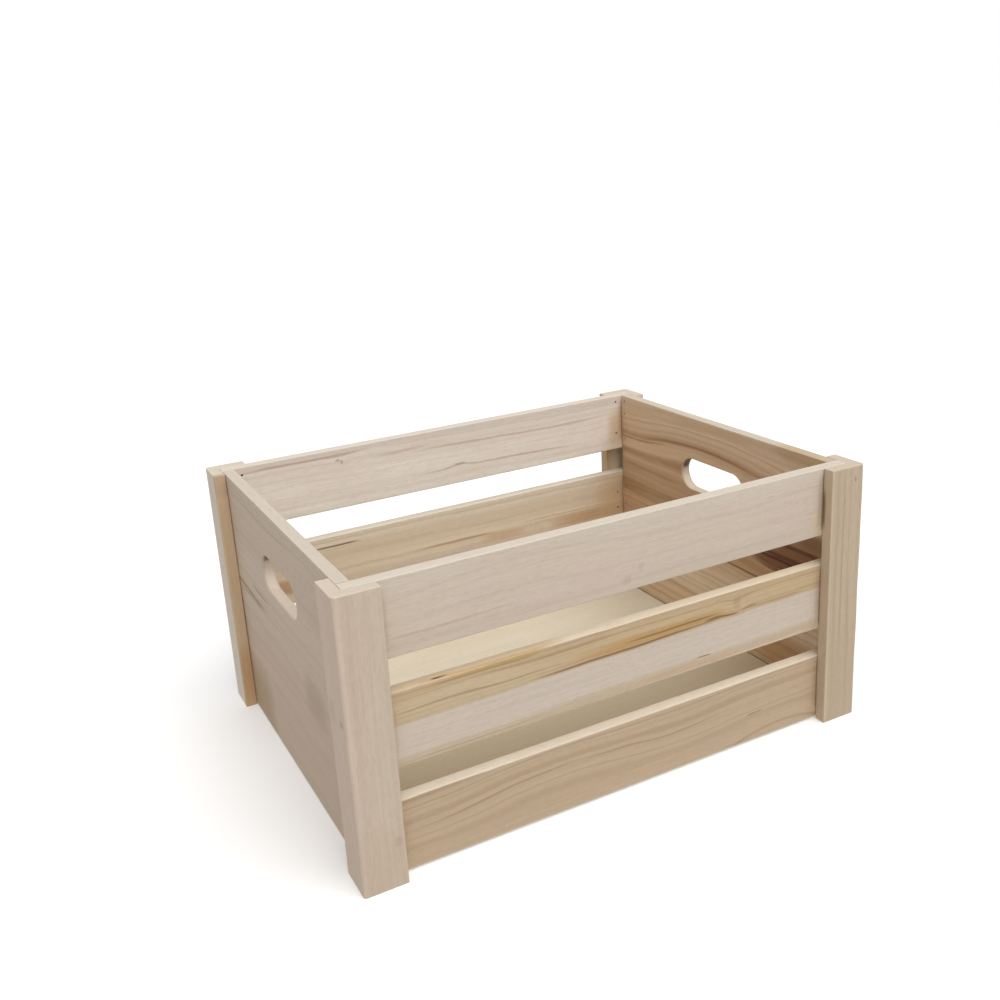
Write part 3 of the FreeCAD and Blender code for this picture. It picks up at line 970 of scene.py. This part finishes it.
def bore(form, head, direction, length, width):
    """The hole of one brad: the punched mouth over its head, and its shank down to the point."""
    clear, seat, point, play = 1.5 * MM, 0.6 * MM, 1.6 * MM, 0.05 * MM
    radius = width / 2
    shank = radius * 0.6
    profile = [
        (-clear, 0), (-clear, radius), (seat, radius), (seat, shank),
        (length - point, shank), (length + play, 0),
    ]
    side = unit(Z)
    verts = [form.verts.new(head + direction * depth + side * reach) for depth, reach in profile]
    edges = [form.edges.new(pair) for pair in zip(verts, verts[1:])]
    bmesh.ops.spin(
        form, geom=verts + edges, cent=head, axis=direction, angle=2 * pi, steps=16, use_merge=True
    )


def slot_ring(form, middle, reach, radius, place):
    """The outline of the hand hole in the plane x = place: straight sides and round ends."""
    segments = 44
    ring = bmesh.ops.create_circle(form, cap_ends=False, radius=radius, segments=segments)["verts"]
    bmesh.ops.rotate(form, verts=ring, cent=(0, 0, 0), matrix=Matrix.Rotation(pi / segments, 3, "Z"))
    bmesh.ops.rotate(form, verts=ring, cent=(0, 0, 0), matrix=Matrix.Rotation(pi / 2, 3, "Y"))
    for vert in ring:
        vert.co.y += reach if vert.co.y > 0 else -reach
    bmesh.ops.translate(form, verts=ring, vec=(place, 0, middle))
    return [edge for edge in form.edges if all(vert in ring for vert in edge.verts)]


def hand_hole(form, low, high, sizes):
    """The hand hole's cutter, which flares at both faces of the board."""
    radius = sizes.hand_hole_height / 2
    reach = sizes.hand_hole_length / 2 - radius
    middle = high.z - sizes.hand_hole_drop
    flare = sizes.hand_hole_round
    clear = 1 * MM
    steps = 5
    turns = [pi / 2 * step / steps for step in range(steps + 1)]
    curve = [(flare * (1 - sin(turn)), flare * (1 - cos(turn))) for turn in turns]
    sections = [(low.x - clear, flare)]
    sections += [(low.x + depth, extra) for depth, extra in reversed(curve)]
    sections += [(high.x - depth, extra) for depth, extra in curve]
    sections += [(high.x + clear, flare)]
    rings = [slot_ring(form, middle, reach, radius + extra, place) for place, extra in sections]
    for first, second in zip(rings, rings[1:]):
        bmesh.ops.bridge_loops(form, edges=first + second)
    bmesh.ops.holes_fill(form, edges=[edge for edge in form.edges if edge.is_boundary], sides=0)


def floor_groove(form, node):
    """The cutter for the groove that the floor sits in."""
    play = 0.2 * MM
    floor_low, floor_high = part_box("floor_panel")
    low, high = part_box(node)
    reach = 0.5 * MM
    slot_low = Vector((floor_low.x - reach, floor_low.y - reach, floor_low.z))
    slot_high = Vector((floor_high.x + reach, floor_high.y + reach, floor_high.z + play))
    if high.x - low.x > high.y - low.y:
        slot_low.x, slot_high.x = low.x - reach, high.x + reach
    else:
        slot_low.y, slot_high.y = low.y - reach, high.y + reach
    cube = bmesh.ops.create_cube(form, size=1.0)["verts"]
    bmesh.ops.scale(form, vec=slot_high - slot_low, verts=cube)
    bmesh.ops.translate(form, vec=(slot_low + slot_high) / 2, verts=cube)


def waney_pocket(form, node):
    """The cutter for the bark pocket in the upper edge of the front middle slat."""
    along, depth, turn = -134 * MM, 2.6 * MM, radians(5)
    half_sizes = (5.2 * MM, 0.8 * MM, 1.1 * MM)
    low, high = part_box(node)
    spot = Vector((along, low.y + depth, high.z))
    ball = bmesh.ops.create_uvsphere(form, u_segments=20, v_segments=12, radius=1.0)["verts"]
    bmesh.ops.rotate(form, verts=ball, cent=(0, 0, 0), matrix=Matrix.Rotation(pi / 2, 3, "Y"))
    bmesh.ops.scale(form, vec=half_sizes, verts=ball)
    bmesh.ops.rotate(form, verts=ball, cent=(0, 0, 0), matrix=Matrix.Rotation(turn, 3, "Z"))
    bmesh.ops.translate(form, verts=ball, vec=spot)


def mesh_object(name, form):
    """A new object in the crate's frame that holds a form."""
    mesh = bpy.data.meshes.new(name)
    form.to_mesh(mesh)
    form.free()
    piece = bpy.data.objects.new(name, mesh)
    bpy.context.scene.collection.objects.link(piece)
    return piece


def carve(piece, cutter_form):
    """Cut the holes and grooves out of a piece."""
    if not cutter_form.verts:
        cutter_form.free()
        return
    bmesh.ops.remove_doubles(cutter_form, verts=cutter_form.verts, dist=1e-6)
    bmesh.ops.recalc_face_normals(cutter_form, faces=cutter_form.faces)
    cutter = mesh_object("cutter", cutter_form)
    cut = piece.modifiers.new("carve", "BOOLEAN")
    cut.operation = "DIFFERENCE"
    cut.solver = "EXACT"
    cut.object = cutter
    evaluated = piece.evaluated_get(bpy.context.evaluated_depsgraph_get())
    carved = bpy.data.meshes.new_from_object(evaluated)
    piece.modifiers.clear()
    plain = piece.data
    piece.data = carved
    bpy.data.meshes.remove(plain)
    bpy.data.meshes.remove(cutter.data)
    if len(carved.polygons) < 10:
        raise RuntimeError(piece.name + " was lost when its holes were cut")


def finish_piece(piece, node, material):
    """Smooth a piece, give it its wood and put it in the place of its CAD node."""
    piece.data.name = piece.name
    piece.data.materials.clear()
    piece.data.materials.append(material)
    for face in piece.data.polygons:
        face.use_smooth = True
        face.material_index = 0
    piece.data.set_sharp_from_angle(angle=SMOOTH)
    weighted = piece.modifiers.new("even_shading", "WEIGHTED_NORMAL")
    weighted.keep_sharp = True
    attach(piece, BODY)
    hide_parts(node)


def bored_piece(node, form, extra=None):
    """A piece of this form, with the holes of its brads and one more cut if it has any."""
    piece = mesh_object(node + "_wood", form)
    cutter = bmesh.new()
    for brad in brads_near(node):
        bore(cutter, *brad)
    if extra:
        extra(cutter)
    carve(piece, cutter)
    return piece


def make_board(context, node, grain, square=(), extra=None):
    """One board: planed, sanded, bored for its brads, and finished."""
    sizes = context.scene.crate_sizes
    look = LOOKS[node]
    form = board_form(node, grain, sizes.sanded_arris, sizes.wear, sizes.station, look.seed, square)
    material = wood(node, grain, look, context.scene.crate_finish)
    finish_piece(bored_piece(node, form, extra), node, material)


def make_post(context, node):
    """One corner post: an angle moulding that laps a long side and an end from outside."""
    sizes = context.scene.crate_sizes
    look = LOOKS[node]
    low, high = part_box(node)
    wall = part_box("slat_front_top")[0].y - cad_box[0][1]
    at_back = low.y > 0
    at_right = low.x > 0
    outer = Vector((high.x if at_right else low.x, high.y if at_back else low.y, low.z))
    inner = Vector((low.x if at_right else high.x, low.y if at_back else high.y, low.z))
    into_x = unit(X) * (-1 if at_right else 1)
    into_y = unit(Y) * (-1 if at_back else 1)
    heel = outer + (into_x + into_y) * wall
    section = [
        outer,
        Vector((inner.x, outer.y, low.z)),
        Vector((inner.x, heel.y, low.z)),
        heel,
        Vector((heel.x, inner.y, low.z)),
        Vector((outer.x, inner.y, low.z)),
    ]
    form = bmesh.new()
    foot = form.faces.new([form.verts.new(point) for point in section])
    raised = bmesh.ops.extrude_face_region(form, geom=[foot])["geom"]
    top = [item for item in raised if isinstance(item, bmesh.types.BMVert)]
    bmesh.ops.translate(form, vec=(0, 0, high.z - low.z), verts=top)
    bmesh.ops.recalc_face_normals(form, faces=form.faces)
    cut_stations(form, Z, low.z, high.z, sizes.station)
    arris = []
    tips = []
    for edge in form.edges:
        if not runs_along(edge, Z):
            continue
        spot = edge.verts[0].co
        if (spot - outer).xy.length < NEAR:
            arris.append(edge)
        elif abs(spot.x - inner.x) < NEAR or abs(spot.y - inner.y) < NEAR:
            tips.append(edge)
    round_edges(form, arris, sizes.post_arris, 5)
    tips = [edge for edge in tips if edge.is_valid]
    round_edges(form, tips, sizes.sanded_arris, 3)
    ends = [
        edge
        for edge in form.edges
        if (lies_at(edge, Z, low.z) or lies_at(edge, Z, high.z)) and edge.calc_face_angle(0) > SAWN_EDGE
    ]
    round_edges(form, ends, sizes.cut_end, 2)
    wear_down(form, GRAIN_OF_POST, sizes.wear, look.seed)
    bmesh.ops.recalc_face_normals(form, faces=form.faces)
    material = wood(node, GRAIN_OF_POST, look, context.scene.crate_finish)
    finish_piece(bored_piece(node, form), node, material)


# -------------------------------------------------------------- operators

# The key light is broad and faintly warm, from above and a little from the front
KEY_FROM = (0.08, -0.48, 0.86)
KEY_SPREAD = radians(55)
KEY_COLOUR = (1.0, 0.993, 0.982)
HORIZON = 0.1  # half height of the band where the room's light from above meets that from below


class CRATE_OT_posts(bpy.types.Operator):
    """Make the four corner posts"""

    bl_idname = "crate.posts"
    bl_label = "Corner Posts"

    def execute(self, context):
        for corner in CORNERS:
            make_post(context, "corner_post_" + corner)
        return {"FINISHED"}


class CRATE_OT_slats(bpy.types.Operator):
    """Make the six side slats"""

    bl_idname = "crate.slats"
    bl_label = "Side Slats"

    def execute(self, context):
        for side in ("front", "back"):
            for row in ROWS:
                node = "slat_" + side + "_" + row
                extra = None
                if row == "bottom":
                    extra = partial(floor_groove, node=node)
                elif node == "slat_front_middle":
                    extra = partial(waney_pocket, node=node)
                make_board(context, node, GRAIN_OF_SLAT, extra=extra)
        return {"FINISHED"}


class CRATE_OT_ends(bpy.types.Operator):
    """Make the two boards of each end, with the hand holes"""

    bl_idname = "crate.ends"
    bl_label = "End Boards"

    def execute(self, context):
        sizes = context.scene.crate_sizes
        for end in ("left", "right"):
            upper = "end_board_" + end + "_upper"
            lower = "end_board_" + end + "_lower"
            low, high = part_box(upper)
            joint = ((Z, low.z, sizes.joint_arris),)
            hole = partial(hand_hole, low=low, high=high, sizes=sizes)
            groove = partial(floor_groove, node=lower)
            make_board(context, upper, GRAIN_OF_END, joint, hole)
            make_board(context, lower, GRAIN_OF_END, joint, groove)
        return {"FINISHED"}


class CRATE_OT_floor(bpy.types.Operator):
    """Make the plywood floor"""

    bl_idname = "crate.floor"
    bl_label = "Floor Panel"

    def execute(self, context):
        form = board_form("floor_panel", GRAIN_OF_FLOOR, PLYWOOD_SANDING, 0.0, PLYWOOD_STATION, 0.0)
        piece = mesh_object("floor_panel_plywood", form)
        material = plywood(context.scene.crate_finish)
        finish_piece(piece, "floor_panel", material)
        return {"FINISHED"}


class CRATE_OT_brads(bpy.types.Operator):
    """Give the brads their steel"""

    bl_idname = "crate.brads"
    bl_label = "Brads"

    def execute(self, context):
        wire = steel(context.scene.crate_finish)
        for name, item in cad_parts.items():
            if name.startswith("brads_"):
                for slot in item.material_slots:
                    slot.material = wire
        return {"FINISHED"}


class CRATE_OT_studio(bpy.types.Operator):
    """Lay the floor and set the lights and the camera"""

    bl_idname = "crate.studio"
    bl_label = "Studio"

    def execute(self, context):
        studio = context.scene.crate_studio
        scene = context.scene

        form = bmesh.new()
        bmesh.ops.create_grid(form, x_segments=4, y_segments=4, size=studio.floor_size / 2)
        floor = mesh_object("studio_floor", form)
        floor.data.materials.append(studio_floor_paint())
        # The room's light from below stands for the floor's own, which would be too strong
        floor.visible_diffuse = False
        floor.visible_shadow = False

        world = bpy.data.worlds.new("studio_light")
        world.use_nodes = True
        tree = world.node_tree
        tree.nodes.clear()
        # The room is seen white, and it lights the crate evenly from all sides
        direction = add(tree, "TexCoord", out="Generated")
        height = add(tree, "SeparateXYZ", {}, {0: direction}, out=2)
        strengths = {3: studio.bounce_strength, 4: studio.fill_strength}
        ambient = add(tree, "MapRange", {}, {0: height, 1: -HORIZON, 2: HORIZON, **strengths})
        seen = add(tree, "LightPath", out="Is Camera Ray")
        level = add(tree, "Math", {"operation": "MAXIMUM"}, {0: ambient, 1: seen})
        light = add(tree, "Background", {}, {"Color": linear("#FFFFFF"), "Strength": level})
        add(tree, "OutputWorld", {}, {"Surface": light}, out=None)
        scene.world = world

        key = bpy.data.lights.new("key_light", "SUN")
        key.energy = studio.key_strength
        key.angle = KEY_SPREAD
        key.color = KEY_COLOUR
        key_object = bpy.data.objects.new("key_light", key)
        key_object.rotation_euler = Vector(KEY_FROM).to_track_quat("Z", "Y").to_euler()
        scene.collection.objects.link(key_object)

        camera = bpy.data.cameras.new("camera")
        camera.sensor_width = 36
        camera.lens = studio.lens
        camera.shift_x, camera.shift_y = studio.shift
        camera.clip_start = 0.01
        camera.clip_end = 100
        view = bpy.data.objects.new("camera", camera)
        place = Vector(studio.camera_place)
        line = (Vector(studio.camera_aim) - place).to_track_quat("-Z", "Y").to_matrix()
        roll = Matrix.Rotation(studio.camera_roll, 3, "Z")
        view.matrix_world = Matrix.Translation(place) @ (line @ roll).to_4x4()
        scene.collection.objects.link(view)
        scene.camera = view
        scene.view_settings.view_transform = "Standard"
        return {"FINISHED"}


class CRATE_PT_panel(bpy.types.Panel):
    """The crate's sizes, finish and pieces"""

    bl_idname = "CRATE_PT_panel"
    bl_label = "Wooden Apple Crate"
    bl_space_type = "VIEW_3D"
    bl_region_type = "UI"
    bl_category = "Crate"

    def draw(self, context):
        layout = self.layout
        for group in (context.scene.crate_sizes, context.scene.crate_finish, context.scene.crate_studio):
            box = layout.box()
            for name in group.bl_rna.properties.keys():
                if name not in ("rna_type", "name"):
                    box.prop(group, name)
        for operator in PIECES:
            layout.operator(operator.bl_idname)


PIECES = (CRATE_OT_posts, CRATE_OT_slats, CRATE_OT_ends, CRATE_OT_floor, CRATE_OT_brads, CRATE_OT_studio)
CLASSES = (CrateSizes, CrateFinish, CrateStudio, *PIECES, CRATE_PT_panel)


def register():
    for item in CLASSES:
        bpy.utils.register_class(item)
    bpy.types.Scene.crate_sizes = bpy.props.PointerProperty(type=CrateSizes)
    bpy.types.Scene.crate_finish = bpy.props.PointerProperty(type=CrateFinish)
    bpy.types.Scene.crate_studio = bpy.props.PointerProperty(type=CrateStudio)


def unregister():
    del bpy.types.Scene.crate_studio
    del bpy.types.Scene.crate_finish
    del bpy.types.Scene.crate_sizes
    for item in reversed(CLASSES):
        bpy.utils.unregister_class(item)


def main():
    register()
    bpy.ops.crate.posts()
    bpy.ops.crate.slats()
    bpy.ops.crate.ends()
    bpy.ops.crate.floor()
    bpy.ops.crate.brads()
    bpy.ops.crate.studio()


if __name__ == "__main__":
    main()
